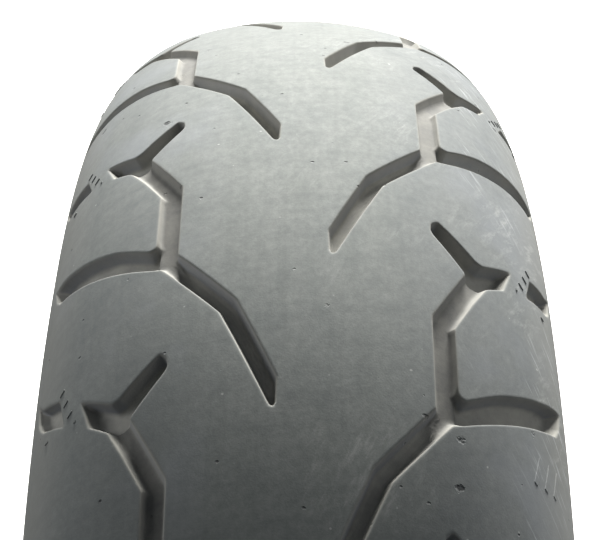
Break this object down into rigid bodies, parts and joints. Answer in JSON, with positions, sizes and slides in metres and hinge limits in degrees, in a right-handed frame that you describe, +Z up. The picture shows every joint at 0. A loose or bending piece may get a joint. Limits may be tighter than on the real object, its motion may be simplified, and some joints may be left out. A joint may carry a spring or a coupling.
{
  "type": "motorcycle tire",
  "caption": "Tubeless motorcycle rear tire with a round crown, worn angular block grooves, stiff sidewalls and wire beads that grip the wheel rim.",
  "frame": {"origin": "wheel centre: on the axle line, midway between the beads", "axes": "+Y along the axle towards the right side, +Z up, +X forward; the tread faces outward all around"},
  "size_m": [0.652, 0.1672, 0.652],
  "materials": {
    "tread_rubber": "worn matt, dusty in the grooves",
    "sidewall_rubber": "moulded satin",
    "bead_rubber": "smooth moulded",
    "liner_rubber": "matt with fine bladder ribs",
    "cushion_rubber": "matt, sealed inside",
    "textile_cord": "rubberised textile cord",
    "belt_cord": "rubberised steel cord",
    "bead_wire": "bronze coated wire"
  },
  "bodies": {
    "root": {"tread_cap": "tread_rubber", "tread_base": "cushion_rubber", "cap_ply": "textile_cord", "belt_upper": "belt_cord", "belt_lower": "belt_cord", "belt_cushion_left": "cushion_rubber", "belt_cushion_right": "cushion_rubber", "carcass_ply_outer": "textile_cord", "carcass_ply_inner": "textile_cord", "inner_liner": "liner_rubber", "sidewall_left": "sidewall_rubber", "sidewall_right": "sidewall_rubber", "bead_wires_left": "bead_wire", "bead_wires_right": "bead_wire", "bead_insulation_left": "cushion_rubber", "bead_insulation_right": "cushion_rubber", "bead_filler_left": "cushion_rubber", "bead_filler_right": "cushion_rubber", "flipper_left": "textile_cord", "flipper_right": "textile_cord", "chafer_left": "bead_rubber", "chafer_right": "bead_rubber", "rim_strip_left": "bead_rubber", "rim_strip_right": "bead_rubber"}
  },
  "joints": []
}
